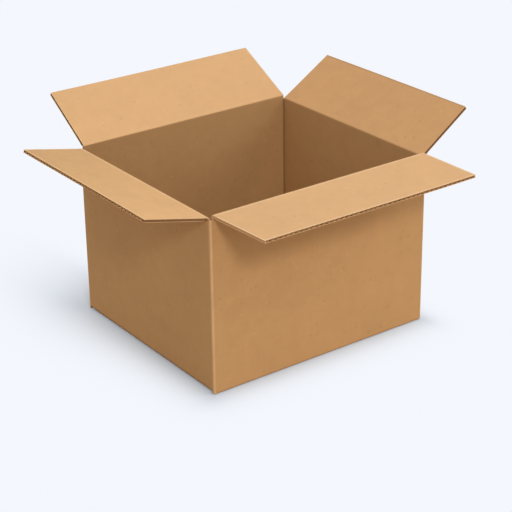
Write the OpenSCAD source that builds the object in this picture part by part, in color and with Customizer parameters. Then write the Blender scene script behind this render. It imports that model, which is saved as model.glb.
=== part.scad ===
// Open slotted box of brown corrugated board, with its four top flaps splayed outwards.
// +X runs to the right along the long front wall, +Y to the back wall, +Z is up.
// The origin is the middle of the underside, on the ground.

/* [Box] */
// Outside length, along the front and back walls
box_l = 360; // [280:1:480]
// Outside width, from the front wall to the back wall
box_w = 320; // [250:1:420]
// Height from the ground to the score of the left and right flaps
wall_h = 248; // [120:1:400]

/* [Board] */
// Thickness of the corrugated board
board_t = 4; // [3.2:0.1:6]
// Thickness of each flat liner
liner_t = 0.4; // [0.25:0.05:0.7]
// Thickness of the wavy sheet between the liners
medium_t = 0.35; // [0.2:0.05:0.6]
// Distance from one crest of the wavy sheet to the next
flute_pitch = 8; // [6:0.25:12]

/* [Top flaps] */
// Length of the front and back flaps, from their score to their free edge
long_flap_len = 105; // [60:1:120]
// Length of the left and right flaps, from their score to their free edge
short_flap_len = 95; // [60:1:120]
// How much each side of a flap slants in on its way to the free edge
flap_taper = 3; // [0:0.5:10]
// Room between a flap's side and the wall that it folds in beside
slot_clear = 0.5; // [0.4:0.1:3]
// Room between the closed flaps where one pair lies on the other
lay_clear = 0.3; // [0.2:0.1:2]

/* [Angles of the top flaps] */
// Front flap's angle above the horizontal
front_rise = 1; // [-50:1:80]
// Back flap's angle above the horizontal
back_rise = 30; // [-50:1:80]
// Left flap's angle above the horizontal
left_rise = 13; // [-50:1:80]
// Right flap's angle above the horizontal
right_rise = 33; // [-50:1:80]

/* [Scores and folds] */
// Depth of a flap's fold line below the outer face of the board
fold_line_depth = 1; // [0.8:0.1:1.5]
// Radius of the pressed board on the fold line
score_r = 0.6; // [0.4:0.05:0.7]
// Gap between the pressed board of a flap and of its wall
score_gap = 0.25; // [0.2:0.05:0.5]
// Outer radius of the folds between the walls and under them
fold_r = 3; // [1:0.25:3.2]
// How far below the horizontal a flap can hang outside the box
hang_angle = 60; // [30:1:65]

/* [Bottom] */
// Gap between the two outer flaps of the bottom, along its middle
seam_gap = 1.5; // [0.5:0.5:6]
// Width of the paper tape over the bottom seam
tape_w = 60; // [36:1:90]
// Thickness of the paper tape
tape_t = 0.2; // [0.1:0.05:0.5]

/* [Glued corner] */
// Width of the tab that joins the back wall to the left wall
tab_w = 35; // [25:1:50]
// Distance from the left flap's score down to the top of the tab
tab_drop = 8; // [6:0.5:20]
// How much shorter the tab's free edge is, at each end
tab_slant = 10; // [0:1:20]

/* [Hidden] */
$fn = 48;

kraft = [0.80, 0.60, 0.38];
kraft_inside = [0.76, 0.56, 0.35];
tape_brown = [0.70, 0.50, 0.30];

// a cut runs this far past the solid that it cuts
over = 1;

// a slot reaches this far from the outer face of a wall, so that flaps fold in beside the walls
slot_half = board_t + slot_clear;
// a flap's fold ends this far short of the slot
end_gap = 0.2;

// the front and back flaps close on top of the left and right flaps
short_score_z = wall_h;
long_score_z = wall_h + board_t + lay_clear;

// the pressed board tapers to the fold line, far enough for a flap to close and to hang down
taper_margin = 1;
inner_taper_angle = 45 - taper_margin;
outer_taper_angle = (90 - hang_angle) / 2 - taper_margin;
inner_depth = board_t - fold_line_depth;
inner_taper = inner_depth / tan(inner_taper_angle);
outer_taper = fold_line_depth / tan(outer_taper_angle);

// the bottom: tape, two outer flaps, two inner flaps
outer_bottom_z = tape_t;
inner_bottom_z = tape_t + board_t;
floor_z = tape_t + 2 * board_t;
bottom_flap_len = (box_w - seam_gap) / 2;
// the slots between the bottom flaps end this far above the outer flaps' underside
corner_lift = fold_r / 2;

// tunnels between the wavy sheet and a liner
core_t = board_t - 2 * liner_t;
tunnel_w = flute_pitch - medium_t;
tunnel_h = core_t - medium_t;
tunnel_sides = 7;
// the board is pressed flat and closed along its scored and slotted edges
closed_edge = 2 * board_t;
closed_side = 1.5;

// plan of the board round the walls

module rounded_rect(l, w, r) {
    square([l - 2 * r, w], center = true);
    square([l, w - 2 * r], center = true);
    for (x = [-1, 1], y = [-1, 1])
        translate([x * (l / 2 - r), y * (w / 2 - r)])
            circle(r);
}

// the left wall ends in a raw edge here, beside the fold of the back wall
module glued_corner_notch() {
    difference() {
        translate([-box_l / 2 - over, box_w / 2 - fold_r])
            square([over + board_t + fold_r, fold_r + over]);
        translate([-box_l / 2 + board_t + fold_r, box_w / 2 - fold_r])
            circle(fold_r);
    }
}

// the upright folds, each with the bits of wall between the slots above and below it
module corner_plan() {
    for (x = [-1, 1], y = [-1, 1])
        intersection() {
            difference() {
                rounded_rect(box_l, box_w, fold_r);
                square([box_l - 2 * board_t, box_w - 2 * board_t], center = true);
            }
            translate([x * (box_l - slot_half) / 2, y * (box_w - slot_half) / 2])
                square([slot_half, slot_half], center = true);
        }
}

// Section of a wall and of the bottom flap that is folded in under it.
// x runs inwards from the wall's outer face and y is the height.
module folded_section(bottom_z, score_z) {
    difference() {
        union() {
            polygon([
                [0, bottom_z],
                [board_t, bottom_z],
                [board_t, score_z - inner_taper],
                [fold_line_depth, score_z],
                [0, score_z - outer_taper]
            ]);
            translate([0, bottom_z])
                square([bottom_flap_len, board_t]);
        }
        difference() {
            translate([-over, bottom_z - over])
                square([over + fold_r, over + fold_r]);
            translate([fold_r, bottom_z + fold_r])
                circle(fold_r);
        }
        translate([fold_line_depth, score_z])
            circle(score_r + score_gap);
    }
}

// a wall panel as long as the space between its slots, with its outer face at y = reach
module wall_panel(turn, reach, len, bottom_z, score_z) {
    rotate([0, 0, turn])
        translate([0, reach, 0])
            rotate([90, 0, 90])
                linear_extrude(len, center = true)
                    mirror([1, 0])
                        folded_section(bottom_z, score_z);
}

// the tab stands against the left wall's inner face
module glue_tab() {
    low = floor_z + lay_clear;
    high = short_score_z - tab_drop;
    translate([-box_l / 2 + board_t, box_w / 2 - board_t, 0])
        rotate([90, 0, 90])
            linear_extrude(board_t)
                polygon([
                    [0, low],
                    [0, high],
                    [-tab_w, high - tab_slant],
                    [-tab_w, low + tab_slant]
                ]);
}

module box_body() {
    color(kraft)
        difference() {
            union() {
                for (turn = [0, 180])
                    wall_panel(turn, box_w / 2, box_l - 2 * slot_half, outer_bottom_z, long_score_z);
                for (turn = [-90, 90])
                    wall_panel(turn, box_l / 2, box_w - 2 * slot_half, inner_bottom_z, short_score_z);
                translate([0, 0, outer_bottom_z + corner_lift])
                    linear_extrude(short_score_z - outer_bottom_z - corner_lift)
                        corner_plan();
                glue_tab();
            }
            translate([0, 0, -over])
                linear_extrude(long_score_z + 2 * over)
                    glued_corner_notch();
        }
}

// Section across a flap: x runs from the fold line to the free edge, and y from the outer face
// at -fold_line_depth to the inner face.
module flap_section(len) {
    polygon([
        [0, 0],
        [outer_taper, -fold_line_depth],
        [len, -fold_line_depth],
        [len, inner_depth],
        [inner_taper, inner_depth]
    ]);
    circle(score_r);
}

// outline of a flap, seen square on, with its fold line on y = 0
module flap_outline(w, len) {
    polygon([
        [-w / 2, -over],
        [-w / 2, 0],
        [-w / 2 + flap_taper, len],
        [w / 2 - flap_taper, len],
        [w / 2, 0],
        [w / 2, -over]
    ]);
}

// one tunnel, flat on the liner and bounded by the wavy sheet, which is a cosine
module tunnel_section() {
    polygon([
        for (i = [0 : tunnel_sides])
            let (turn = 360 * (i / tunnel_sides - 0.5))
            [tunnel_w * turn / 360, tunnel_h * (1 + cos(turn)) / 2]
    ]);
}

// tunnels lie in turn on the outer liner and under the inner one
module tunnels_section(w) {
    pairs = floor((w - 2 * (flap_taper + closed_side) - tunnel_w) / flute_pitch);
    for (i = [0 : 2 * pairs])
        translate([(i - pairs) * flute_pitch / 2, 0])
            if (i % 2 == 0)
                translate([0, liner_t - fold_line_depth])
                    tunnel_section();
            else
                translate([0, inner_depth - liner_t])
                    mirror([0, 1])
                        tunnel_section();
}

// a flap that reaches out along +Y, with its fold line on X
module flap(w, len) {
    difference() {
        intersection() {
            rotate([90, 0, 90])
                linear_extrude(w, center = true)
                    flap_section(len);
            translate([0, 0, -board_t])
                linear_extrude(2 * board_t)
                    flap_outline(w, len);
        }
        translate([0, len + over, 0])
            rotate([90, 0, 0])
                linear_extrude(len + over - closed_edge)
                    tunnels_section(w);
    }
}

// turns a flap to its wall, with its fold line at its score, and lifts its free edge
module on_wall(turn, reach, score_z, rise) {
    rotate([0, 0, turn])
        translate([0, reach - fold_line_depth, score_z])
            rotate([rise, 0, 0])
                children();
}

module long_flap() {
    flap(box_l - 2 * (slot_half + end_gap), long_flap_len);
}

module short_flap() {
    flap(box_w - 2 * (slot_half + end_gap), short_flap_len);
}

module front_flap() {
    color(kraft_inside)
        on_wall(180, box_w / 2, long_score_z, front_rise)
            long_flap();
}

module back_flap() {
    color(kraft_inside)
        on_wall(0, box_w / 2, long_score_z, back_rise)
            long_flap();
}

module left_flap() {
    color(kraft_inside)
        on_wall(90, box_l / 2, short_score_z, left_rise)
            short_flap();
}

module right_flap() {
    color(kraft_inside)
        on_wall(-90, box_l / 2, short_score_z, right_rise)
            short_flap();
}

// a strip of paper tape under the seam, as long as the outer bottom flaps
module bottom_tape() {
    color(tape_brown)
        translate([0, 0, tape_t / 2])
            cube([box_l - 2 * slot_half, tape_w, tape_t], center = true);
}

box_body();
front_flap();
back_flap();
left_flap();
right_flap();
bottom_tape();
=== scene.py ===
import math
import bpy
import bmesh
import numpy as np
from mathutils import Matrix, Vector


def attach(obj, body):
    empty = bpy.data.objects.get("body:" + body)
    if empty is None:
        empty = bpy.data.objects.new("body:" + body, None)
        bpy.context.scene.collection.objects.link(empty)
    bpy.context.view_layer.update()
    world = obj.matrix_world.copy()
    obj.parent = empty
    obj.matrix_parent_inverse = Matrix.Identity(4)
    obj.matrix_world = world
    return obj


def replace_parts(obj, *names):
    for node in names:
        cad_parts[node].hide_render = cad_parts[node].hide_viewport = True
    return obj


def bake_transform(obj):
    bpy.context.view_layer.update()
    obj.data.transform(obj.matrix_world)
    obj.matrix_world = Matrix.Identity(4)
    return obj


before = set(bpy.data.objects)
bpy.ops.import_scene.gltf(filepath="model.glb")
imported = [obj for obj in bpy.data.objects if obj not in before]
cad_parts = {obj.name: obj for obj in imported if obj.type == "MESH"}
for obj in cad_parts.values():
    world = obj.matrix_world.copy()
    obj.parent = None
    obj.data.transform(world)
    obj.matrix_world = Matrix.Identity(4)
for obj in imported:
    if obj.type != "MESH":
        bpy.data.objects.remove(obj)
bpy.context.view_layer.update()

print("frame loaded:", sorted(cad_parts))

mm = 0.001

# camera: standing to the front left of the box, a little above it
camera = {
    "azimuth": -34.83,  # degrees, from straight in front
    "elevation": 23.66,
    "roll": -1.24,
    "focalPixels": 1545.92,
    "imagePixels": 512,
    "offset": (39.36 * mm, -126.84 * mm, -2237.66 * mm),  # the box's origin as the camera sees it
    "middle": (-30.0, -30.0),  # pixels from the picture's middle to the lens's, right and down
    "sensor": 36,  # mm wide
    "farthest": 20,  # m
}


def newObject(name, data):
    item = bpy.data.objects.new(name, data)
    bpy.context.scene.collection.objects.link(item)
    return item


def placeCamera(look):
    around, above, roll = (math.radians(look[key]) for key in ("azimuth", "elevation", "roll"))
    back = Vector((math.sin(around) * math.cos(above), -math.cos(around) * math.cos(above), math.sin(above)))
    right = Vector((math.cos(around), math.sin(around), 0))
    up = back.cross(right)
    right, up = right * math.cos(roll) + up * math.sin(roll), up * math.cos(roll) - right * math.sin(roll)
    x, y, z = look["offset"]
    place = -(right * x + up * y + back * z)
    lens = bpy.data.cameras.new("photoCamera")
    lens.sensor_fit = "HORIZONTAL"
    lens.sensor_width = look["sensor"]
    lens.lens = look["focalPixels"] / look["imagePixels"] * lens.sensor_width
    lens.shift_x = -look["middle"][0] / look["imagePixels"]
    lens.shift_y = look["middle"][1] / look["imagePixels"]
    lens.clip_end = look["farthest"]
    holder = newObject("photoCamera", lens)
    holder.matrix_world = Matrix(((right.x, up.x, back.x, place.x),
                                  (right.y, up.y, back.y, place.y),
                                  (right.z, up.z, back.z, place.z),
                                  (0, 0, 0, 1)))
    bpy.context.scene.camera = holder


placeCamera(camera)
print("camera placed")

# the board and the carton, as the frame has them
board = {
    "thick": 4 * mm,
    "liner": 0.4 * mm,
    "medium": 0.35 * mm,
    "pitch": 8 * mm,
    "fluteSteps": 16,  # straight bits in one wave
    "fluteBack": 0.1 * mm,  # from the free edge to the wavy sheet's end
    "weld": 0.001 * mm,
    "outerDepth": 1 * mm,  # fold line below the outer face
    "innerDepth": 3 * mm,
    "innerTaper": 3.107 * mm,
    "outerTaper": 4.011 * mm,
    "nose": 0.6 * mm,
    "groove": 0.85 * mm,
}
carton = {
    "halfLength": 180 * mm,
    "halfWidth": 160 * mm,
    "slot": 4.5 * mm,
    "endGap": 0.2 * mm,
    "foldRadius": 3 * mm,
    "innerFold": 0.5 * mm,
    "shortScore": 248 * mm,
    "longScore": 252.3 * mm,
    "outerBottom": 0.2 * mm,
    "innerBottom": 4.2 * mm,
    "columnBottom": 1.7 * mm,
    "bottomReach": 159.25 * mm,
    "stub": 10 * mm,  # how far the bent wall runs under the box before the bottom flap's open flutes
    "step": 9 * mm,
    "bow": {"front": 0.5 * mm, "right": -0.5 * mm, "back": 0.4 * mm, "left": -0.4 * mm},  # inwards
}
# the wall that a flap hangs on: how far out it stands, half its length, its score and its bottom flap's underside
kinds = {
    "long": {"reach": carton["halfWidth"], "half": carton["halfLength"], "score": carton["longScore"],
             "bottom": carton["outerBottom"], "length": 105 * mm},
    "short": {"reach": carton["halfLength"], "half": carton["halfWidth"], "score": carton["shortScore"],
              "bottom": carton["innerBottom"], "length": 95 * mm},
}
tab = {"low": 8.5 * mm, "high": 240 * mm, "slant": 10 * mm, "end": 121 * mm, "rows": 4, "lip": 0.04}


# materials
def addNode(tree, kind, inputs, **settings):
    node = tree.nodes.new(kind)
    for key, value in settings.items():
        setattr(node, key, value)
    for key, value in inputs.items():
        if isinstance(value, bpy.types.NodeSocket):
            tree.links.new(value, node.inputs[key])
        else:
            node.inputs[key].default_value = value
    return node


def calc(tree, operation, first, second=0.0, third=0.0):
    return addNode(tree, "ShaderNodeMath", {0: first, 1: second, 2: third}, operation=operation).outputs[0]


def times(tree, first, second):
    return calc(tree, "MULTIPLY", first, second)


def timesPlus(tree, first, second, more):
    return calc(tree, "MULTIPLY_ADD", first, second, more)


def blendColours(tree, amount, first, second):
    return addNode(tree, "ShaderNodeMix", {0: amount, 6: first, 7: second}, data_type="RGBA").outputs[2]


def fadeBetween(tree, value, low, high):
    return addNode(tree, "ShaderNodeMapRange", {"Value": value, "From Min": low, "From Max": high},
                   interpolation_type="SMOOTHSTEP").outputs["Result"]


def clamped(tree, value, low=0.0, high=1.0):
    return addNode(tree, "ShaderNodeClamp", {"Value": value, "Min": low, "Max": high}).outputs[0]


def noise(tree, where, scale, detail, rough):
    return addNode(tree, "ShaderNodeTexNoise",
                   {"Vector": where, "Scale": scale, "Detail": detail, "Roughness": rough}).outputs["Fac"]


markShape = {"smallest": 0.25, "soft": 0.35}  # least size of a mark, and the part of it inside its soft edge


def marks(tree, where, turn, stretch, scale, size, share):
    # lone specks or short fibres: the middles of a few of the cells
    turned = addNode(tree, "ShaderNodeMapping",
                     {"Vector": where, "Rotation": (0, 0, math.radians(turn)), "Scale": stretch})
    cells = addNode(tree, "ShaderNodeTexVoronoi", {"Vector": turned.outputs[0], "Scale": scale},
                    voronoi_dimensions="2D")
    chosen = addNode(tree, "ShaderNodeSeparateColor", {0: cells.outputs["Color"]})
    reach = calc(tree, "DIVIDE", cells.outputs["Distance"],
                 calc(tree, "ADD", chosen.outputs[1], markShape["smallest"]))
    inside = fadeBetween(tree, reach, size, size * markShape["soft"])
    return times(tree, inside, calc(tree, "LESS_THAN", chosen.outputs[0], share))


# detail and roughness of each noise
noiseLook = {"clouds": (3.0, 0.55), "patches": (4.0, 0.6), "fibres": (5.0, 0.65), "clumps": (1.0, 0.5)}


def kraftPaper(name, finish):
    material = bpy.data.materials.new(name)
    material.use_nodes = True
    tree = material.node_tree
    shader = tree.nodes["Principled BSDF"]
    sheet = addNode(tree, "ShaderNodeAttribute", {}, attribute_name="sheet").outputs["Vector"]
    wornAndLit = addNode(tree, "ShaderNodeAttribute", {}, attribute_name="wearAndLight").outputs["Fac"]
    across = addNode(tree, "ShaderNodeSeparateXYZ", {0: sheet}).outputs[0]

    clouds = noise(tree, sheet, finish["cloudScale"], *noiseLook["clouds"])
    patches = noise(tree, sheet, finish["patchScale"], *noiseLook["patches"])
    laid = addNode(tree, "ShaderNodeMapping", {"Vector": sheet, "Scale": (finish["fibreRun"], 1.0, 1.0)})
    fibres = noise(tree, laid.outputs[0], finish["fibreScale"], *noiseLook["fibres"])
    wave = calc(tree, "COSINE", times(tree, across, 2 * math.pi / board["pitch"]))
    tone = 0.5  # 0 is the dark paper and 1 the light
    for pattern, amount in ((clouds, "clouds"), (patches, "patches"), (fibres, "fibres")):
        tone = timesPlus(tree, calc(tree, "SUBTRACT", pattern, 0.5), finish[amount], tone)
    tone = timesPlus(tree, wave, finish["bands"], tone)
    # painted light and shade: the tone drifts lighter or darker across the sheet
    paintedLightDrift = times(tree, calc(tree, "SUBTRACT", across, finish["leanFrom"]), finish["lean"])
    tone = calc(tree, "ADD", tone, clamped(tree, paintedLightDrift, -finish["leanMost"], finish["leanMost"]))
    colour = blendColours(tree, clamped(tree, tone), (*finish["dark"], 1), (*finish["light"], 1))

    torn = addNode(tree, "ShaderNodeTexNoise",
                   {"Vector": sheet, "Scale": finish["tearScale"], "Detail": finish["tearDetail"]}).outputs["Color"]
    torn = addNode(tree, "ShaderNodeVectorMath", {0: torn, 1: (finish["torn"],) * 3, 2: sheet},
                   operation="MULTIPLY_ADD").outputs[0]  # gives each mark a ragged outline
    clumps = fadeBetween(tree, noise(tree, sheet, finish["clumpScale"], *noiseLook["clumps"]), *finish["clumpEdge"])
    dots = marks(tree, torn, 0, finish["dotStretch"], finish["dotScale"], finish["dotSize"],
                 times(tree, clumps, finish["dotShare"]))
    colour = blendColours(tree, times(tree, dots, finish["dots"]), colour, (*finish["dot"], 1))
    share = times(tree, clumps, finish["strandShare"])
    pair = [marks(tree, torn, turn, (stretch, 1, 1), finish["strandScale"] * scale, finish["strandSize"], share)
            for turn, stretch, scale in finish["strandKinds"]]
    strands = calc(tree, "MAXIMUM", *pair)
    colour = blendColours(tree, times(tree, strands, finish["strands"]), colour, (*finish["strand"], 1))

    # paler where the attribute is above 0: rubbed wear together with a painted highlight on folds and edges
    rubbed = times(tree, wornAndLit, timesPlus(tree, patches, *finish["rubPatches"]))
    rubbed = clamped(tree, times(tree, rubbed, finish["rub"]))
    colour = blendColours(tree, rubbed, colour, (*finish["rubbed"], 1))
    paintedShadeMix = clamped(tree, times(tree, wornAndLit, -finish["paintedShade"]))
    colour = blendColours(tree, paintedShadeMix, colour, (*finish["dot"], 1))  # wear below 0 is painted shade in inner corners, along the base and on parts of the walls and flaps
    tree.links.new(colour, shader.inputs["Base Color"])

    height = timesPlus(tree, patches, finish["patchHeight"], times(tree, fibres, 1 - finish["patchHeight"]))
    height = timesPlus(tree, calc(tree, "SUBTRACT", strands, dots), finish["raised"], height)
    grain = addNode(tree, "ShaderNodeBump",
                    {"Strength": finish["grain"], "Distance": finish["grainDepth"], "Height": height})
    ribs = addNode(tree, "ShaderNodeBump",
                   {"Strength": 1.0, "Distance": finish["ribDepth"], "Height": wave, "Normal": grain.outputs[0]})
    tree.links.new(ribs.outputs[0], shader.inputs["Normal"])
    rough = timesPlus(tree, fibres, finish["roughSpread"], finish["roughness"] - finish["roughSpread"] / 2)
    tree.links.new(rough, shader.inputs["Roughness"])
    shader.inputs["Specular IOR Level"].default_value = finish["gloss"]
    return material


tints = {  # against a paper's middle tone
    "spread": 0.13,  # to the dark and to the light paper
    "fleckAndShadeTint": 0.5,
    "strand": (1.25, 0.03, 0.92),  # times, plus and at most
    "rubbed": (1.2, 1.32, 1.5), "palest": 0.95,
}


def paperFinish(middle, **changes):
    finish = {
        "cloudScale": 11.0, "clouds": 0.55,
        "patchScale": 48.0, "patches": 0.55,
        "fibreScale": 700.0, "fibres": 0.25, "fibreRun": 0.3,
        "bands": 0.005,  # faint stripes over the flutes
        "lean": 0.0,  # painted light and shade: drift of the tone for each metre across the flutes
        "leanFrom": 0.0, "leanMost": 0.35,  # where the painted drift is nil, and its limit
        "dots": 0.18, "dotScale": 88.0, "dotSize": 0.19, "dotShare": 0.40, "dotStretch": (1, 0.8, 1),
        "strands": 0.24, "strandScale": 70.0, "strandSize": 0.14, "strandShare": 0.32,
        "strandKinds": ((35, 0.5, 1.0), (-60, 0.35, 1.3)),  # turn, squeeze and scale of each kind of short fibre
        "torn": 5 * mm, "tearScale": 330.0, "tearDetail": 2.0,
        "clumpScale": 30.0, "clumpEdge": (0.40, 0.62),
        "rub": 0.95, "rubPatches": (1.2, 0.35), "paintedShade": 0.8,
        "grain": 0.3, "grainDepth": 0.10 * mm, "patchHeight": 0.35, "raised": 4.0, "ribDepth": 0.005 * mm,
        "roughness": 0.80, "roughSpread": 0.16, "gloss": 0.22,
    }
    scale, more, most = tints["strand"]
    finish["dark"] = tuple((1 - tints["spread"]) * part for part in middle)
    finish["light"] = tuple((1 + tints["spread"]) * part for part in middle)
    # the fleck colour, also used as the colour of painted shade
    finish["dot"] = tuple(tints["fleckAndShadeTint"] * part for part in middle)
    finish["strand"] = tuple(min(part * scale + more, most) for part in middle)
    finish["rubbed"] = tuple(min(part * rise, tints["palest"]) for part, rise in zip(middle, tints["rubbed"]))
    finish.update(changes)
    return finish


rawPaper = {"bands": 0.0, "ribDepth": 0.0, "roughness": 0.9, "gloss": 0.12}
cutPaper = {**rawPaper, "fibreScale": 1600.0, "fibres": 1.0, "grain": 0.6, "strands": 0.1}
outsideKraft = kraftPaper("outsideKraft", paperFinish((0.675, 0.366, 0.150), rubbed=(0.88, 0.52, 0.255)))
# a darker copy of the liner for the inside of the box: painted shade; its tone also drifts along the walls, darkest
# at the back wall's left end, as painted shade
shadedInsideKraft = kraftPaper("shadedInsideKraft", paperFinish((0.520, 0.299, 0.127), rub=0.5, lean=-1.25, leanFrom=1.10,
                                                    dark=(0.416, 0.237, 0.100), light=(0.624, 0.372, 0.163),
                                                    clouds=0.36, patches=0.36, fibres=0.16, bands=0.0033))
fluteKraft = kraftPaper("fluteKraft", paperFinish((0.70, 0.41, 0.175), strands=0.2, **rawPaper))
# its very dark fleck colour is also this paper's painted shade
cutKraft = kraftPaper("cutKraft", paperFinish((0.66, 0.40, 0.20), dot=(0.15, 0.075, 0.03), **cutPaper))
tapePaper = kraftPaper("gummedTape", paperFinish((0.43, 0.25, 0.115), bands=0.0, ribDepth=0.0, dots=0.2,
                                                 strands=0.15, grain=0.2, roughness=0.62, gloss=0.35))
print("materials made")


# mesh helpers: a piece is gathered from closed shells, then made in one go
def newShells():
    return {"points": [], "faces": [], "slots": [], "sheet": [], "wearAndLight": []}


def addShell(shells, points, faces, slots, sheet, wearAndLight):
    start = sum(len(part) for part in shells["points"])
    shells["faces"] += [tuple(start + corner for corner in face) for face in faces]
    shells["slots"] += slots
    for key, part in (("points", points), ("sheet", sheet), ("wearAndLight", wearAndLight)):
        shells[key].append(part)


def makePiece(name, shells, materials, crease=35):
    # crease is the angle in degrees past which an edge stays sharp
    mesh = bpy.data.meshes.new(name)
    mesh.from_pydata(np.concatenate(shells["points"]).tolist(), [], shells["faces"])
    mesh.polygons.foreach_set("material_index", shells["slots"])
    for material in materials:
        mesh.materials.append(material)
    for key, kind, field in (("sheet", "FLOAT_VECTOR", "vector"), ("wearAndLight", "FLOAT", "value")):
        mesh.attributes.new(key, kind, "POINT").data.foreach_set(field, np.concatenate(shells[key]).ravel())
    tidy = bmesh.new()
    tidy.from_mesh(mesh)
    bmesh.ops.recalc_face_normals(tidy, faces=tidy.faces)
    tidy.to_mesh(mesh)
    tidy.free()
    mesh.validate()
    mesh.shade_smooth()
    mesh.set_sharp_from_angle(angle=math.radians(crease))
    return newObject(name, mesh)


def loftFaces(rings, around):
    # quads between neighbouring closed rings, and a cap at each end
    faces = []
    for ring in range(rings - 1):
        for corner in range(around):
            a, b = ring * around + corner, ring * around + (corner + 1) % around
            faces.append((a, b, b + around, a + around))
    faces.append(tuple(reversed(range(around))))
    faces.append(tuple((rings - 1) * around + corner for corner in range(around)))
    return faces


secondLip = 1.7  # against the first


def withLips(low, high, count, lip):
    # even steps, with two more close to each end for the wear and painted highlight along an edge
    near, far = math.copysign(lip, high - low), math.copysign(secondLip * lip, high - low)
    middle = np.linspace(low, high, count + 1)[1:-1]
    return np.concatenate([[low, low + near, low + far], middle, [high - far, high - near, high]])


def swept(section, xs):
    # the section's points at each x
    return np.concatenate([np.column_stack([np.full(len(section), x), section]) for x in xs])


def slabFaces(across, along):
    # (flat faces, side faces) of two equal grids of points, the lower one first
    size = across * along
    flat = []
    for column in range(across - 1):
        for row in range(along - 1):
            a = column * along + row
            b = a + along
            flat += [(a, a + 1, b + 1, b), (size + a, size + b, size + b + 1, size + a + 1)]
    ring = [column * along for column in range(across)] + [size - along + row for row in range(1, along)]
    ring += [column * along - 1 for column in reversed(range(1, across))] + list(reversed(range(1, along - 1)))
    return flat, [(a, b, size + b, size + a) for a, b in zip(ring, ring[1:] + ring[:1])]


def bearing(x, y):
    return math.degrees(math.atan2(y, x))


def arcPoints(centre, radius, start, stop, count):
    turn = np.radians(np.linspace(start, stop, count + 1))
    return np.stack([centre[0] + radius * np.cos(turn), centre[1] + radius * np.sin(turn)], 1)


# the walls: one bent sheet from the left wall's raw edge round to the glued tab
outerFace, innerFace, cutFace, pressedFace = 0, 1, 2, 3  # material slots
layer = {"outer": 0.0, "inner": 0.31, "flutes": 0.6, "sides": 0.9}  # keeps the papers' patterns apart
wallShape = {
    "faceRows": 22, "bendSteps": 6, "grooveSteps": 6, "toeSteps": 3, "foldSteps": 8,
    "underEnds": (7 * mm, 6.5 * mm),  # where the bend under the box turns flat, above and below
    "lip": 1.5 * mm,
    "hair": 0.01 * mm,  # between a wall's section and the upright beside it
    "bowFrom": 6 * mm, "bowRise": 242 * mm,
}
wallWearAndLight = {  # above 0 the paper is painted pale, for rubbed wear and a painted highlight; below 0 it is painted shade
    "rawEdge": 0.6,
    "uprightFold": 1.5,  # no more than 1 of it shows
    "foldMargin": 0.4,  # steps past a fold's ends where its painted highlight and wear stop
    # foldInside darkens the inner corners, bottomBend and underBend the base where the box meets the floor: painted
    # shade
    "foldInside": -1.0,
    "score": 0.5, "innerScore": 0.6,
    "bottomBend": -0.15, "underBend": -0.9, "bendSide": 3,  # the bend's last rows face outwards
    "leftWall": -0.20, "leftWallPower": 1.5,  # painted shade, darker towards the front corner
    "cornerShadeReach": 2.5 * mm,
}


def panelRing(score, base):
    # section of a wall as (depth from the outer face, height), up the outside and down the inside
    depth, inner, thick = board["outerDepth"], board["innerDepth"], board["thick"]
    radius, toeRadius, rows, lip = carton["foldRadius"], carton["innerFold"], wallShape["faceRows"], wallShape["lip"]
    bend = arcPoints((radius, base + radius), radius, -90, -180, wallShape["bendSteps"])
    rise = withLips(bend[-1][1], score - board["outerTaper"], rows, lip)[1:]
    outer = np.stack([np.zeros_like(rise), rise], 1)
    groove = arcPoints((depth, score), board["groove"], bearing(-depth, -board["outerTaper"]),
                       bearing(inner, -board["innerTaper"]), wallShape["grooveSteps"])
    outerBevel = [(outer[-1] + groove[0]) / 2]
    top = np.array([thick, score - board["innerTaper"]])
    innerBevel = [(groove[-1] + top) / 2, top]
    fall = withLips(top[1], base + thick + toeRadius, rows, lip)[1:]
    inside = np.stack([np.full_like(fall, thick), fall], 1)
    toe = arcPoints((thick + toeRadius, base + thick + toeRadius), toeRadius, 180, 270, wallShape["toeSteps"])[1:]
    above, below = wallShape["underEnds"]
    under = [(above, base + thick), (carton["stub"], base + thick), (carton["stub"], base), (below, base)]
    parts = [bend, outer, outerBevel, groove, innerBevel, inside, toe, under]
    return np.concatenate(parts), [len(part) for part in parts]


def columnRing(low, high, counts):
    # plain upright section, point for point like the panel's
    bend, outer, outerBevel, groove, innerBevel, inside, toe, under = counts
    thick, radius, lip = board["thick"], carton["foldRadius"], wallShape["lip"]
    lips = 4  # points that withLips adds to its steps
    ring = [(x, low) for x in np.linspace(radius, 0, bend)]
    ring += [(0, z) for z in withLips(low, high, outer - lips, lip)[1:]]
    ring += [(x, high) for x in np.linspace(0, thick, outerBevel + groove + innerBevel + 1)[1:]]
    ring += [(thick, z) for z in withLips(high, low, inside - lips, lip)[1:]]
    ring += [(x, low) for x in np.linspace(thick, radius, toe + under + 2)[1:-1]]
    return np.array(ring)


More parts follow.
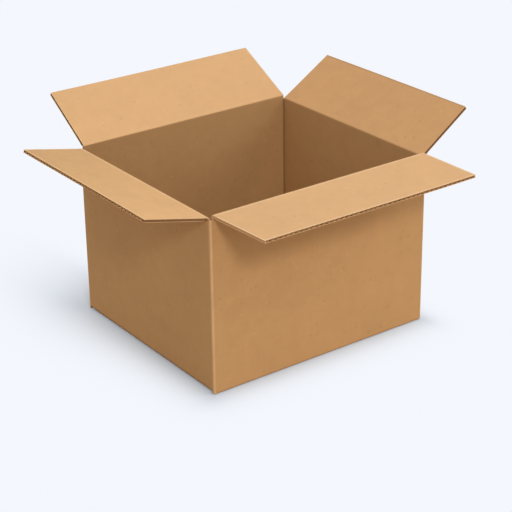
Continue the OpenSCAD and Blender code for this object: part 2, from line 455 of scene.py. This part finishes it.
def wallSheet():
    halfL, halfW, slot, thick = carton["halfLength"], carton["halfWidth"], carton["slot"], board["thick"]
    longRing, counts = panelRing(carton["longScore"], carton["outerBottom"])
    shortRing, counts = panelRing(carton["shortScore"], carton["innerBottom"])
    column = columnRing(carton["columnBottom"], carton["shortScore"], counts)
    tabRing = columnRing(tab["low"], tab["high"], counts)
    tabEnd = columnRing(tab["low"] + tab["slant"], tab["high"] - tab["slant"], counts)
    stations = []  # outer point, inner point, section, wall, wear

    def post(outer, inward, wall="fold", wornAndLit=0.0):
        inner = [place + way * thick for place, way in zip(outer, inward)]
        stations.append((Vector(outer), Vector(inner), column, wall, wornAndLit))

    def panel(wall, first, last, inward, ring, before="fold", closing=True):
        hair = [wallShape["hair"] * inward[1], -wallShape["hair"] * inward[0]]
        post([place - more for place, more in zip(first, hair)], inward, before)
        start, stop, through = Vector(first), Vector(last), Vector(inward) * thick
        length = (stop - start).length
        for share in withLips(0, 1, round(length / carton["step"]), wallShape["lip"] / length):
            outer = start.lerp(stop, share)
            # painted shade on the inner face, darker towards each end of a wall where it meets a corner
            paintedCornerShade = 1 - min(share, 1 - share) * length / wallWearAndLight["cornerShadeReach"]
            stations.append((outer, outer + through, ring, wall, min(0.0, -paintedCornerShade)))
        if closing:
            post([place + more for place, more in zip(last, hair)], inward)

    def fold(outerMiddle, innerMiddle, start):
        steps, margin = wallShape["foldSteps"], wallWearAndLight["foldMargin"]
        for step in range(steps + 1):
            turn = math.radians(start + 90 * step / steps)
            way = Vector((math.cos(turn), math.sin(turn)))
            peak = math.sin(math.pi * (step + margin) / (steps + 2 * margin)) ** 2
            stations.append((Vector(outerMiddle) + way * carton["foldRadius"],
                             Vector(innerMiddle) + way * carton["innerFold"],
                             column, "fold", min(1.0, wallWearAndLight["uprightFold"] * peak)))

    def boxCorner(right, rear, start):
        fold((right * (halfL - radius), rear * (halfW - radius)),
             (right * (halfL - inset), rear * (halfW - inset)), start)

    x, y, radius, inset = halfL - slot, halfW - slot, carton["foldRadius"], thick + carton["innerFold"]
    gluedX = -halfL + thick + radius
    post((-halfL, halfW - radius), (1, 0), "left", wallWearAndLight["rawEdge"])
    panel("left", (-halfL, y), (-halfL, -y), (1, 0), shortRing, before="left")
    boxCorner(-1, -1, 180)
    panel("front", (-x, -halfW), (x, -halfW), (0, 1), longRing)
    boxCorner(1, -1, 270)
    panel("right", (halfL, -y), (halfL, y), (-1, 0), shortRing)
    boxCorner(1, 1, 0)
    panel("back", (x, halfW), (gluedX, halfW), (0, -1), longRing, closing=False)
    fold((gluedX, halfW - radius), (-halfL + thick + inset, halfW - inset), 90)
    tabX = -halfL + thick
    tabFrom = halfW - inset - wallShape["hair"]
    for share in withLips(0, 1, tab["rows"], tab["lip"]):
        reach = tabFrom + (tab["end"] - tabFrom) * share
        ring = tabRing * (1 - share) + tabEnd * share
        stations.append((Vector((tabX, reach)), Vector((tabX + thick, reach)), ring, "left", 0.0))

    rings, sheet, wearAndLight = [], [], []
    along, last = 0.0, None
    bendEnd, outerEnd, bevelEnd, grooveEnd, topEnd = np.cumsum(counts)[:5]
    for outer, inner, ring, wall, wornAndLit in stations:
        if last is not None:
            along += (outer - last).length
        last = outer
        share = (ring[:, 0] / thick)[:, None]
        flat = np.array(outer) * (1 - share) + np.array(inner) * share
        height = ring[:, 1]
        if wall in carton["bow"]:
            half, place = (halfW, outer.y) if wall in ("left", "right") else (halfL, outer.x)
            swell = math.cos(math.pi / 2 * min(abs(place) / half, 1))
            lift = np.sin(np.pi * np.clip((height - wallShape["bowFrom"]) / wallShape["bowRise"], 0, 1))
            inward = {"left": (1, 0), "right": (-1, 0), "front": (0, 1), "back": (0, -1)}[wall]
            flat = flat + np.array(inward) * (carton["bow"][wall] * swell * lift)[:, None]
        rings.append(np.column_stack([flat, height]))
        side = np.full(len(ring), layer["outer"])
        side[grooveEnd:] = layer["inner"]
        reach = np.where(ring[:, 0] > thick, height - (ring[:, 0] - thick), height)
        sheet.append(np.column_stack([np.full(len(ring), along), reach, side]))
        rub = np.full(len(ring), max(wornAndLit, 0.0))
        # painted shade on the left wall's outside, darker towards the front corner
        if wall == "left" and along < 2 * halfW:
            rub[rub == 0] = wallWearAndLight["leftWall"] * (along / (2 * halfW)) ** wallWearAndLight["leftWallPower"]
        # painted shade inside the vertical folds and towards the ends of each wall
        rub[grooveEnd:] = wallWearAndLight["foldInside"] if wall == "fold" else min(wornAndLit, 0.0)
        # painted shade along the bend at the base, darkest on the rows underneath
        rub[:bendEnd] = wallWearAndLight["bottomBend"]
        rub[:bendEnd - wallWearAndLight["bendSide"]] = wallWearAndLight["underBend"]
        # paler at the score on the wall's top edge: wear and a painted highlight
        if ring is not column:
            rub[outerEnd - 1:bevelEnd] = wallWearAndLight["score"]
            rub[topEnd - 1] = wallWearAndLight["innerScore"]
        wearAndLight.append(rub)
    around = len(longRing)
    slots = []
    for here, there in zip(stations, stations[1:]):
        upright = here[2] is column
        jump = upright != (there[2] is column) or (here[2] is not there[2] and here[3] != "left")
        for corner in range(around):
            if jump or (upright and outerEnd - 1 <= corner < topEnd - 1):
                slots.append(cutFace)
            else:
                slots.append(outerFace if corner < grooveEnd - 1 else innerFace)
    slots += [cutFace, cutFace]
    shells = newShells()
    addShell(shells, np.concatenate(rings), loftFaces(len(rings), around), slots, np.concatenate(sheet),
             np.concatenate(wearAndLight))
    return shells


walls = makePiece("wall_sheet", wallSheet(), [outsideKraft, shadedInsideKraft, cutKraft])
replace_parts(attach(walls, "box"), "box_body")
print("walls folded:", len(walls.data.polygons), "faces")


# fluted paper, made by Geometry Nodes: a sheet that waves across its width
def fluteTree():
    tree = bpy.data.node_groups.new("fluteSheet", "GeometryNodeTree")
    for label, kind in (("Width", "Float"), ("Length", "Float"), ("Pitch", "Float"), ("Wave height", "Float"),
                        ("Paper", "Float"), ("Steps per flute", "Int"), ("Rows", "Int"), ("Material", "Material")):
        tree.interface.new_socket(label, in_out="INPUT", socket_type="NodeSocket" + kind)
    tree.interface.new_socket("Geometry", in_out="OUTPUT", socket_type="NodeSocketGeometry")
    given = tree.nodes.new("NodeGroupInput").outputs
    result = tree.nodes.new("NodeGroupOutput")
    steps = times(tree, calc(tree, "DIVIDE", given["Width"], given["Pitch"]), given["Steps per flute"])
    grid = addNode(tree, "GeometryNodeMeshGrid",
                   {"Size X": given["Width"], "Size Y": given["Length"],
                    "Vertices X": calc(tree, "ADD", calc(tree, "CEIL", steps), 1.0), "Vertices Y": given["Rows"]})
    place = addNode(tree, "ShaderNodeSeparateXYZ", {0: tree.nodes.new("GeometryNodeInputPosition").outputs[0]})
    phase = times(tree, calc(tree, "DIVIDE", place.outputs[0], given["Pitch"]), 2 * math.pi)
    wave = times(tree, calc(tree, "COSINE", phase), calc(tree, "DIVIDE", given["Wave height"], 2.0))
    wave = calc(tree, "SUBTRACT", wave, calc(tree, "DIVIDE", given["Paper"], 2.0))
    lift = addNode(tree, "ShaderNodeCombineXYZ", {2: wave})
    waved = addNode(tree, "GeometryNodeSetPosition", {"Geometry": grid.outputs["Mesh"], "Offset": lift.outputs[0]})
    thick = addNode(tree, "GeometryNodeExtrudeMesh",
                    {"Mesh": waved.outputs[0], "Offset Scale": given["Paper"], "Individual": False}, mode="FACES")
    under = addNode(tree, "GeometryNodeFlipFaces", {"Mesh": waved.outputs[0]})
    joined = tree.nodes.new("GeometryNodeJoinGeometry")
    tree.links.new(thick.outputs["Mesh"], joined.inputs[0])
    tree.links.new(under.outputs[0], joined.inputs[0])
    closed = addNode(tree, "GeometryNodeMergeByDistance", {"Geometry": joined.outputs[0], "Distance": board["weld"]})
    real = addNode(tree, "GeometryNodeRealizeInstances", {0: closed.outputs[0]})
    painted = addNode(tree, "GeometryNodeSetMaterial", {"Geometry": real.outputs[0], "Material": given["Material"]})
    tree.links.new(painted.outputs[0], result.inputs[0])
    return tree


flutes = fluteTree()


def addFlutes(shells, width, start, stop, middle, rows, shape, onSheet):
    # one waved sheet, grown on a host that is then removed
    host = newObject("fluteHost", bpy.data.meshes.new("fluteHost"))
    grower = host.modifiers.new("flutes", "NODES")
    grower.node_group = flutes
    values = {"Width": width, "Length": stop - start, "Pitch": board["pitch"], "Paper": board["medium"],
              "Wave height": board["thick"] - 2 * board["liner"] - board["medium"],
              "Steps per flute": board["fluteSteps"], "Rows": rows, "Material": fluteKraft}
    for item in flutes.interface.items_tree:
        if item.name in values:
            grower[item.identifier] = values[item.name]
    bpy.context.view_layer.update()
    grown = bpy.data.meshes.new_from_object(host.evaluated_get(bpy.context.evaluated_depsgraph_get()))
    host.modifiers.clear()
    bpy.data.objects.remove(host)
    points = np.zeros(len(grown.vertices) * 3)
    grown.vertices.foreach_get("co", points)
    points = points.reshape(-1, 3) + np.array([0, (start + stop) / 2 - board["fluteBack"], middle])
    faces = [tuple(face.vertices) for face in grown.polygons]
    addShell(shells, shape(points), faces, [outerFace] * len(faces), onSheet(points, layer["flutes"]),
             np.zeros(len(points)))


# one sheet of liner: a thin closed slab that follows a shaping function
slabShape = {"across": 8 * mm, "along": 9 * mm, "lip": 1.8 * mm, "wornAndLitReach": 1.2, "barRows": 14}


def addSlab(shells, width, start, stop, low, high, shape, onSheet, skin, edges):
    # onSheet gives a point's place on the paper, skin is the material slot of its faces, and edges
    # are the wear and painted light at the left, right, root and free edge
    lip = slabShape["lip"]
    xs = withLips(-width / 2, width / 2, round(width / slabShape["across"]), lip)
    ys = withLips(start, stop, round((stop - start) / slabShape["along"]), lip)
    gridX, gridY = np.meshgrid(xs, ys, indexing="ij")
    points = np.concatenate([np.column_stack([gridX.ravel(), gridY.ravel(), np.full(gridX.size, z)])
                             for z in (low, high)])
    flat, sides = slabFaces(len(xs), len(ys))
    wearAndLight = np.zeros_like(gridX)
    for amount, reach in zip(edges, (gridX - xs[0], xs[-1] - gridX, gridY - ys[0], ys[-1] - gridY)):
        wearAndLight = np.where((reach < slabShape["wornAndLitReach"] * lip) & (abs(amount) > np.abs(wearAndLight)), amount, wearAndLight)
    addShell(shells, shape(points), flat + sides, [skin] * len(flat) + [cutFace] * len(sides),
             onSheet(points, layer["inner" if skin == innerFace else "outer"]), np.tile(wearAndLight.ravel(), 2))


def addBar(shells, middle, width, start, stop, low, high, shape, onSheet):
    # a closed bar of crushed board
    section = np.array([(-width / 2, low), (width / 2, low), (width / 2, high), (-width / 2, high)])
    points = swept(section, np.linspace(start, stop, slabShape["barRows"]))[:, [1, 0, 2]]
    faces = loftFaces(slabShape["barRows"], len(section))
    addShell(shells, shape(points + np.array([middle, 0, 0])), faces, [pressedFace] * len(faces),
             onSheet(points, layer["sides"]), np.zeros(len(points)))


# the top flaps
flapShape = {
    "taper": 3 * mm,
    "closed": 8 * mm,  # pressed shut from the fold line to here
    "flatFrom": 6 * mm, "noseSteps": 12, "lip": 1.3 * mm,
    "twistWaves": 1.3, "twistEase": 0.5,
    "apart": 0.1 * mm,  # at the free edges, when the flaps lie on each other
    "crushed": 1.3 * mm, "crushedIn": 1.35 * mm, "crushedShort": 0.3 * mm,  # closed sides: width, place and end
    "fluteIn": 3.2 * mm, "fluteRows": 8,
}
flapWearAndLight = {"outerScore": 0.4, "innerScore": 0.5, "outerRims": (0.8, 0.8, 0, 0.8)}
# place is the flap's middle along the walls' sheet, and rims are the wear and painted highlight inside at its sides
# and free edge, painted shade where below 0
# each flap's paper, pressed and cut tones, rims and rub differ with how light falls on that flap: painted light and
# shade
flaps = {
    "front": {
        "turn": 180, "rise": 1, "kind": "long", "bow": -0.5 * mm, "twist": 0.5 * mm, "place": 62 * board["pitch"],
        "paper": (0.815, 0.488, 0.240), "pressed": (0.68, 0.38, 0.17), "cut": (0.66, 0.40, 0.20),
        "rims": (0.8, 0.9), "lean": 0.0, "rub": 0.7,
    },
    "back": {
        "turn": 0, "rise": 30, "kind": "long", "bow": -0.5 * mm, "twist": 0.4 * mm, "place": 147 * board["pitch"],
        "paper": (0.742, 0.444, 0.213), "pressed": (0.08, 0.036, 0.014), "cut": (0.28, 0.145, 0.065),
        "rims": (0.1, 0.0), "lean": 0.0, "rub": 0.1,
    },
    "left": {
        "turn": 90, "rise": 13, "kind": "short", "bow": 0.4 * mm, "twist": -0.4 * mm, "place": 20 * board["pitch"],
        "paper": (0.748, 0.448, 0.208), "pressed": (0.27, 0.135, 0.055), "cut": (0.52, 0.30, 0.14),
        "rims": (0.6, 1.0), "lean": 2.3, "rub": 0.7,
    },
    "right": {
        "turn": -90, "rise": 33, "kind": "short", "bow": 0.5 * mm, "twist": -0.4 * mm, "place": 104 * board["pitch"],
        "paper": (0.730, 0.412, 0.184), "pressed": (0.20, 0.095, 0.037), "cut": (0.36, 0.19, 0.085),
        "rims": (0.0, -0.3), "lean": 0.0, "rub": 0.1,
    },
}
for flapName, flap in flaps.items():
    flap["kraft"] = kraftPaper(flapName + "FlapKraft",
                               paperFinish(flap["paper"], lean=flap["lean"], leanFrom=flap["place"]))
    flap["edge"] = kraftPaper(flapName + "CutKraft", paperFinish(flap["cut"], dots=0.0, **cutPaper))
    flap["side"] = kraftPaper(flapName + "PressedKraft",
                              paperFinish(flap["pressed"], dots=0.0, strands=0.0, **rawPaper))


def flapPlace(flap):
    kind = kinds[flap["kind"]]
    hinge = Matrix.Rotation(math.radians(flap["turn"]), 4, "Z") @ \
        Matrix.Translation((0, kind["reach"] - board["outerDepth"], kind["score"]))
    return hinge, hinge @ Matrix.Rotation(math.radians(flap["rise"]), 4, "X")


def flapWidth(flap):
    return 2 * (kinds[flap["kind"]]["half"] - carton["slot"] - carton["endGap"])


def moved(points, matrix):
    return points @ np.array(matrix.to_3x3()).T + np.array(matrix.translation)


def sheetPlace(flap):
    # a flap is cut from the same paper as its wall
    score = kinds[flap["kind"]]["score"]

    def onSheet(points, side):
        return np.column_stack([flap["place"] - points[:, 0], score + points[:, 1], points[:, 2] + side])

    return onSheet


def rootSection():
    # (section of the pressed board, number of points on its nose and outer face)
    depth, inner, closed, flat = board["outerDepth"], board["innerDepth"], flapShape["closed"], flapShape["flatFrom"]
    outerTaper, innerTaper = board["outerTaper"], board["innerTaper"]
    nose = arcPoints((0, 0), board["nose"], bearing(innerTaper, inner), 360 + bearing(outerTaper, -depth),
                     flapShape["noseSteps"])
    outside = np.concatenate([nose, [((outerTaper + board["nose"]) / 2, -depth * 0.56), (outerTaper, -depth),
                                     (flat, -depth), (closed, -depth)]])
    inside = [(closed, inner), (flat, inner), (innerTaper, inner), (innerTaper * 0.6, inner * 0.6)]
    return np.concatenate([outside, inside]), len(outside)


def makeFlap(name, flap):
    width, length = flapWidth(flap), kinds[flap["kind"]]["length"]
    depth, inner, liner, closed = board["outerDepth"], board["innerDepth"], board["liner"], flapShape["closed"]
    _, place = flapPlace(flap)

    def shape(points):
        x, y, z = points.T
        share = np.clip((y - closed) / (length - closed), 0, 1)
        narrow = 1 - flapShape["taper"] / (width / 2) * np.clip(y, 0, None) / length
        curve = flap["bow"] * (1 - (2 * x / width) ** 2) * share ** 2
        twist = flap["twist"] * np.sin(math.pi * x / width * flapShape["twistWaves"]) * share ** 2
        curve = curve + twist * (1 - share * flapShape["twistEase"])
        # shut, the long flaps arch up and the short ones sag, so they stay clear of each other
        away = -1 if flap["kind"] == "long" else 1
        curve = away * (np.maximum(away * curve, 0) + flapShape["apart"] * share)
        drawnIn = np.minimum(curve, 0) * math.tan(math.radians(flap["rise"]))  # the bow reaches no further out
        return moved(np.column_stack([x * narrow, y + drawnIn, z + curve]), place)

    shells = newShells()
    section, outside = rootSection()
    xs = withLips(-width / 2, width / 2, round(width / slabShape["across"]), flapShape["lip"])
    around = len(section)
    points = swept(section, xs)
    # paler at the fold line, outside and inside: wear and a painted highlight
    wornAndLit = np.zeros(around)
    wornAndLit[outside - 4:outside - 2] = flapWearAndLight["outerScore"]
    wornAndLit[-2:] = flapWearAndLight["innerScore"]
    onSheet = sheetPlace(flap)
    sides = np.where(np.arange(around) < outside, layer["outer"], layer["inner"])
    faces = loftFaces(len(xs), around)
    slots = [outerFace if corner < outside - 1 else innerFace for corner in range(around)] * (len(xs) - 1)
    addShell(shells, shape(points), faces, slots + [pressedFace] * 2, onSheet(points, np.tile(sides, len(xs))),
             np.tile(wornAndLit, len(xs)))
    addSlab(shells, width, closed, length, -depth, -depth + liner, shape, onSheet, outerFace, flapWearAndLight["outerRims"])
    sideRim, freeRim = flap["rims"]
    addSlab(shells, width, closed, length, inner - liner, inner, shape, onSheet, innerFace,
            (sideRim, sideRim, 0, freeRim))
    for side in (-1, 1):  # the knife crushes the sides shut
        addBar(shells, side * (width / 2 - flapShape["crushedIn"]), flapShape["crushed"], closed,
               length - flapShape["crushedShort"], liner - depth, inner - liner, shape, onSheet)
    piece = makePiece(name + "_flap_liners", shells, [outsideKraft, flap["kraft"], flap["edge"], flap["side"]])
    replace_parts(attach(piece, name), name + "_flap")

    shells = newShells()
    addFlutes(shells, width - flapShape["fluteIn"], closed, length, inner - board["thick"] / 2,
              flapShape["fluteRows"], shape, onSheet)
    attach(makePiece(name + "_flap_flutes", shells, [fluteKraft], crease=60), name)


for flapName, flap in flaps.items():
    makeFlap(flapName, flap)
    print("flap made:", flapName)


# the creased board in each fold: the inner liner runs round it from the wall into the flap, and the
# outer one lies in the score
foldSkin = {
    "clear": 0.03 * mm, "paper": 0.12 * mm, "run": 2.4 * mm, "overNose": 0.78 * mm, "swell": 0.05 * mm,
    "edge": 0.02 * mm,  # how far the inner paper's ends stand off the board
    "bendSteps": 9, "noseSteps": 5, "noseEnds": (50, 220), "outerNoseSteps": 6,
    "lie": (0.88, 0.62, 0.36),  # where the outer paper lies on the score's slopes
    "outerStart": 0.5 * mm, "thinEnd": 0.3,
    "step": 12 * mm, "rubbed": 1.8 * mm,
    "wallShare": 0.45,  # of the points that show, with the wall's paper
    "grip": {"inside": 2.6 * mm, "outside": 0.75 * mm},  # from the fold line to where the paper starts to turn
}


def turned(points, degrees):
    turn = math.radians(degrees)
    spin = np.array([[math.cos(turn), math.sin(turn)], [-math.sin(turn), math.cos(turn)]])
    return np.asarray(points, float) @ spin


def creaseSection(rise):
    # (closed outline, x outwards and y upwards from the fold line, number of points that show, the crest's place)
    inner, taper, run = board["innerDepth"], board["innerTaper"], foldSkin["run"]
    proud, edge = inner + foldSkin["swell"], inner + foldSkin["edge"]
    wallSide = [(-edge, -taper - run), (-proud, -taper - run * 0.6), (-proud, -taper), (-proud, -taper / 2)]
    bend = arcPoints((0, 0), proud, 180, 90 + rise, foldSkin["bendSteps"])
    flapSide = turned([(taper / 2, proud), (taper, proud), (taper + run * 0.6, proud), (taper + run, edge)], rise)
    back = turned([(taper, inner), (taper * 0.3, inner * 0.3)], rise)
    start, stop = foldSkin["noseEnds"]
    nose = arcPoints((0, 0), board["nose"], start + rise, stop, foldSkin["noseSteps"])
    front = [(-inner * 0.3, -taper * 0.3), (-inner, -taper)]
    shown = np.concatenate([wallSide, bend, flapSide])
    return np.concatenate([shown, back, nose, front]), len(shown), len(wallSide) + len(bend)


def scoreSection(rise):
    # the same for a thin skin over the outside of the score
    depth, taper, off = board["outerDepth"], board["outerTaper"], foldSkin["clear"] + foldSkin["paper"]
    reach = math.hypot(depth, taper)
    wallWay, flapWay = np.array([depth, -taper]) / reach, np.array([taper, -depth]) / reach
    wallSide, flapSide = np.array([-wallWay[1], wallWay[0]]), np.array([flapWay[1], -flapWay[0]])
    wallPart = [(depth + off, -taper - foldSkin["run"]), (depth + off, -taper - foldSkin["outerStart"])]
    wallPart += [wallWay * reach * share + wallSide * off for share in foldSkin["lie"]]
    flapPart = [flapWay * reach * share + flapSide * off for share in reversed(foldSkin["lie"])]
    flapPart += [(taper + foldSkin["outerStart"], -depth - off), (taper + foldSkin["run"], -depth - off)]
    flapPart = turned(flapPart, rise)
    nose = arcPoints((0, 0), foldSkin["overNose"] + foldSkin["paper"], bearing(*wallPart[-1]), bearing(*flapPart[0]),
                     foldSkin["outerNoseSteps"])
    line = np.concatenate([wallPart, nose, flapPart])
    for _ in range(2):  # cut the corners for a soft fold
        first, second = line[:-1] * 0.75 + line[1:] * 0.25, line[:-1] * 0.25 + line[1:] * 0.75
        line = np.concatenate([line[:1], np.stack([first, second], 1).reshape(-1, 2), line[-1:]])
    way = np.gradient(line, axis=0)
    way /= np.linalg.norm(way, axis=1)[:, None]
    paper = np.full(len(line), foldSkin["paper"])
    paper[[0, -1]] *= foldSkin["thinEnd"]
    below = line + np.stack([-way[:, 1], way[:, 0]], 1) * paper[:, None]
    return np.concatenate([line, below[::-1]]), len(line), len(line) // 2


def makeFold(name, flap, part, outline, papers, side):
    section, shown, crest = outline
    width = flapWidth(flap)
    hinge, _ = flapPlace(flap)
    xs = np.linspace(-width / 2, width / 2, round(width / foldSkin["step"]) + 1)
    around = len(section)
    points = swept(section, xs)
    run = np.concatenate([[0], np.cumsum(np.linalg.norm(np.diff(section, axis=0), axis=1))])
    run = run - run[crest]
    flat = np.column_stack([points[:, 0], np.tile(run, len(xs)), np.zeros(len(points))])
    # paler along the crest of the fold: a painted highlight with some wear, strongest on the flaps that face the
    # light
    wornAndLit = flap["rub"] * np.exp(-(run / foldSkin["rubbed"]) ** 2)
    wornAndLit[shown:] = 0
    wallCorners = round(shown * foldSkin["wallShare"])
    slots = [outerFace if corner < wallCorners else innerFace for corner in range(around)] * (len(xs) - 1)
    shells = newShells()
    addShell(shells, moved(points, hinge), loftFaces(len(xs), around), slots + [cutFace] * 2,
             sheetPlace(flap)(flat, side), np.tile(wornAndLit, len(xs)))
    piece = makePiece(f"{name}_crease_{part}", shells, [*papers, cutKraft], crease=60)
    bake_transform(piece)


for flapName, flap in flaps.items():
    makeFold(flapName, flap, "inside", creaseSection(flap["rise"]), (shadedInsideKraft, flap["kraft"]), layer["inner"])
    makeFold(flapName, flap, "outside", scoreSection(flap["rise"]), (outsideKraft, outsideKraft), layer["outer"])
print("folds creased")


# the bottom flaps, folded under and shut
bottomFlaps = {
    "turns": ((180, "long"), (0, "long"), (90, "short"), (-90, "short")),
    "paper": 6,  # the first one's place on the paper, and the others follow a metre apart
    "fluteIn": 0.4 * mm, "fluteRows": 3, "wearAndLight": (0.5, 0.5, 0, 0.6),
}


def makeBottom(bottom):
    slabs, waves = newShells(), newShells()
    start, stop, thick, liner = carton["stub"], carton["bottomReach"], board["thick"], board["liner"]
    for index, (turn, kindName) in enumerate(bottom["turns"]):
        kind = kinds[kindName]
        width = 2 * (kind["half"] - carton["slot"])
        # y runs inwards from the wall's outer face
        place = Matrix.Rotation(math.radians(turn), 4, "Z") @ \
            Matrix.Translation((0, kind["reach"], kind["bottom"])) @ Matrix.Diagonal((1, -1, 1, 1))

        def shape(points):
            return moved(points, place)

        def onSheet(points, side):
            return points + np.array([bottom["paper"] + index, 0, side])

        addSlab(slabs, width, start, stop, 0, liner, shape, onSheet, outerFace, bottom["wearAndLight"])
        addSlab(slabs, width, start, stop, thick - liner, thick, shape, onSheet, innerFace, bottom["wearAndLight"])
        addFlutes(waves, width - bottom["fluteIn"], start, stop, thick / 2, bottom["fluteRows"], shape, onSheet)
    liners = makePiece("bottom_flap_liners", slabs, [outsideKraft, shadedInsideKraft, cutKraft])
    wavy = makePiece("bottom_flap_flutes", waves, [fluteKraft], crease=60)
    for piece in (liners, wavy):
        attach(piece, "box")


makeBottom(bottomFlaps)
print("bottom closed")


# paper tape over the bottom seam
seamTape = {
    "halfLength": 175.5 * mm, "halfWidth": 30 * mm, "thick": 0.2 * mm, "ragged": 0.35 * mm,
    "columns": 61, "rows": (-1, -0.9, -0.5, 0, 0.5, 0.9, 1), "seed": 7,
    "wornFrom": 0.95, "wornAndLit": 0.5,
    "paper": 11,  # its place on the paper
}


def makeTape(tape):
    random = np.random.default_rng(tape["seed"])
    xs = np.linspace(-tape["halfLength"], tape["halfLength"], tape["columns"])
    ys = np.array(tape["rows"]) * tape["halfWidth"]
    gridX, gridY = np.meshgrid(xs, ys, indexing="ij")
    sides = random.random((len(xs), 2)) * tape["ragged"]
    gridY[:, 0] += sides[:, 0]
    gridY[:, -1] -= sides[:, 1]
    ends = random.random((len(ys), 2)) * 2 * tape["ragged"]
    gridX[0, :] += ends[:, 0]
    gridX[-1, :] -= ends[:, 1]
    low = np.column_stack([gridX.ravel(), gridY.ravel(), np.zeros(gridX.size)])
    points = np.concatenate([low, low + np.array([0, 0, tape["thick"]])])
    flat, sides = slabFaces(len(xs), len(ys))
    wearAndLight = np.tile((np.abs(gridY) > tape["halfWidth"] * tape["wornFrom"]).ravel() * tape["wornAndLit"], 2)
    shells = newShells()
    addShell(shells, points, flat + sides, [outerFace] * len(flat + sides), points + np.array([tape["paper"], 0, 0]),
             wearAndLight)
    strip = makePiece("seam_tape", shells, [tapePaper])
    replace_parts(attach(strip, "box"), "bottom_tape")


makeTape(seamTape)
print("tape laid")

# studio: pale floor, soft light from above and in front
studio = {
    "backdrop": (0.905, 0.930, 0.982),
    "ambient": (1.0, 0.975, 0.935), "ambientStrength": 0.41,
    "floor": (0.75, 0.868, 1.0), "bounce": (0.52, 0.51, 0.49),
    # the floor fades into the plain backdrop away from the box, more slowly on the left
    "plainAtBox": 0.15, "fade": 30.5 * mm, "shoulder": 1.32, "stretch": 1.25, "right": 1.9, "leftFront": 1.08,
    "leftBack": 0.60, "leftBehind": 0.27, "behindFade": (0.04, -0.14),
    "floorHalf": 6,
    "lamps": {
        "overhead": {"from": (0, 0, 1), "strength": 0.50, "softness": 40},
        "sideKey": {"from": (-0.48, -1.28, 1.0), "strength": 0.85, "softness": 12},
        "rightKey": {"from": (1, -0.45, 0.85), "strength": 0.60, "softness": 35},
        "lowFill": {"from": (0.7, -0.7, 0.35), "strength": 0.27, "softness": 25},
        "leftFill": {"from": (-1, 0.1, 0.8), "strength": 0.09, "softness": 30},
    },
}


def seenRays(tree):
    # 1 where the camera, a reflection or clear glass shows the surface
    rays = tree.nodes.new("ShaderNodeLightPath").outputs
    return calc(tree, "MAXIMUM", rays["Is Camera Ray"],
                calc(tree, "MAXIMUM", rays["Is Glossy Ray"], rays["Is Transmission Ray"]))


def makeStudio(studio):
    world = bpy.data.worlds.new("studio")
    bpy.context.scene.world = world
    world.use_nodes = True
    tree = world.node_tree
    tree.nodes.clear()
    ambient = addNode(tree, "ShaderNodeBackground",
                      {"Color": (*studio["ambient"], 1), "Strength": studio["ambientStrength"]})
    pale = addNode(tree, "ShaderNodeBackground", {"Color": (*studio["backdrop"], 1), "Strength": 1.0})
    mix = addNode(tree, "ShaderNodeMixShader", {0: seenRays(tree), 1: ambient.outputs[0], 2: pale.outputs[0]})
    out = tree.nodes.new("ShaderNodeOutputWorld")
    tree.links.new(mix.outputs[0], out.inputs[0])

    for name, lamp in studio["lamps"].items():
        light = bpy.data.lights.new(name, "SUN")
        light.energy = lamp["strength"]
        light.angle = math.radians(lamp["softness"])
        newObject(name, light).rotation_euler = Vector(lamp["from"]).to_track_quat("Z", "Y").to_euler()

    ground = bpy.data.meshes.new("studio_floor")
    half = studio["floorHalf"]
    ground.from_pydata([(-half, -half, 0), (half, -half, 0), (half, half, 0), (-half, half, 0)], [], [(0, 1, 2, 3)])
    material = bpy.data.materials.new("paleFloor")
    material.use_nodes = True
    tree = material.node_tree
    tree.nodes.clear()
    place = tree.nodes.new("ShaderNodeTexCoord").outputs["Object"]
    side = addNode(tree, "ShaderNodeSeparateXYZ", {0: place})
    reach = []
    for axis, half in ((0, carton["halfLength"]), (1, carton["halfWidth"])):
        past = calc(tree, "SUBTRACT", calc(tree, "ABSOLUTE", side.outputs[axis]), half)
        reach.append(calc(tree, "MAXIMUM", past, 0.0))
    onLeft = calc(tree, "LESS_THAN", side.outputs[0], 0.0)
    toBack = fadeBetween(tree, side.outputs[1], -carton["halfWidth"], carton["halfWidth"])
    wide = timesPlus(tree, toBack, studio["leftBack"] - studio["leftFront"], studio["leftFront"])
    sideways = timesPlus(tree, onLeft, calc(tree, "SUBTRACT", wide, studio["right"]), studio["right"])
    behind = times(tree, fadeBetween(tree, side.outputs[0], *studio["behindFade"]),
                   calc(tree, "GREATER_THAN", side.outputs[1], 0.0))
    lengthways = timesPlus(tree, behind, studio["leftBehind"] - studio["stretch"], studio["stretch"])
    reach = [times(tree, reach[0], sideways), times(tree, reach[1], lengthways)]
    away = calc(tree, "ADD", calc(tree, "POWER", reach[0], 2.0), calc(tree, "POWER", reach[1], 2.0))
    away = calc(tree, "SQRT", away)
    away = calc(tree, "POWER", calc(tree, "DIVIDE", away, studio["fade"]), studio["shoulder"])
    faded = calc(tree, "EXPONENT", times(tree, away, -1.0))
    far = timesPlus(tree, faded, studio["plainAtBox"] - 1, 1.0)
    pale = addNode(tree, "ShaderNodeBsdfDiffuse", {"Color": (*studio["floor"], 1)})
    glow = addNode(tree, "ShaderNodeEmission", {"Color": (*studio["backdrop"], 1), "Strength": 1.0})
    shown = addNode(tree, "ShaderNodeMixShader", {0: far, 1: pale.outputs[0], 2: glow.outputs[0]})
    dull = addNode(tree, "ShaderNodeBsdfDiffuse", {"Color": (*studio["bounce"], 1)})
    mix = addNode(tree, "ShaderNodeMixShader", {0: seenRays(tree), 1: dull.outputs[0], 2: shown.outputs[0]})
    out = tree.nodes.new("ShaderNodeOutputMaterial")
    tree.links.new(mix.outputs[0], out.inputs[0])
    ground.materials.append(material)
    newObject("studio_floor", ground)


makeStudio(studio)
bpy.context.scene.view_settings.view_transform = "Standard"
print("studio lit")

bpy.context.view_layer.update()
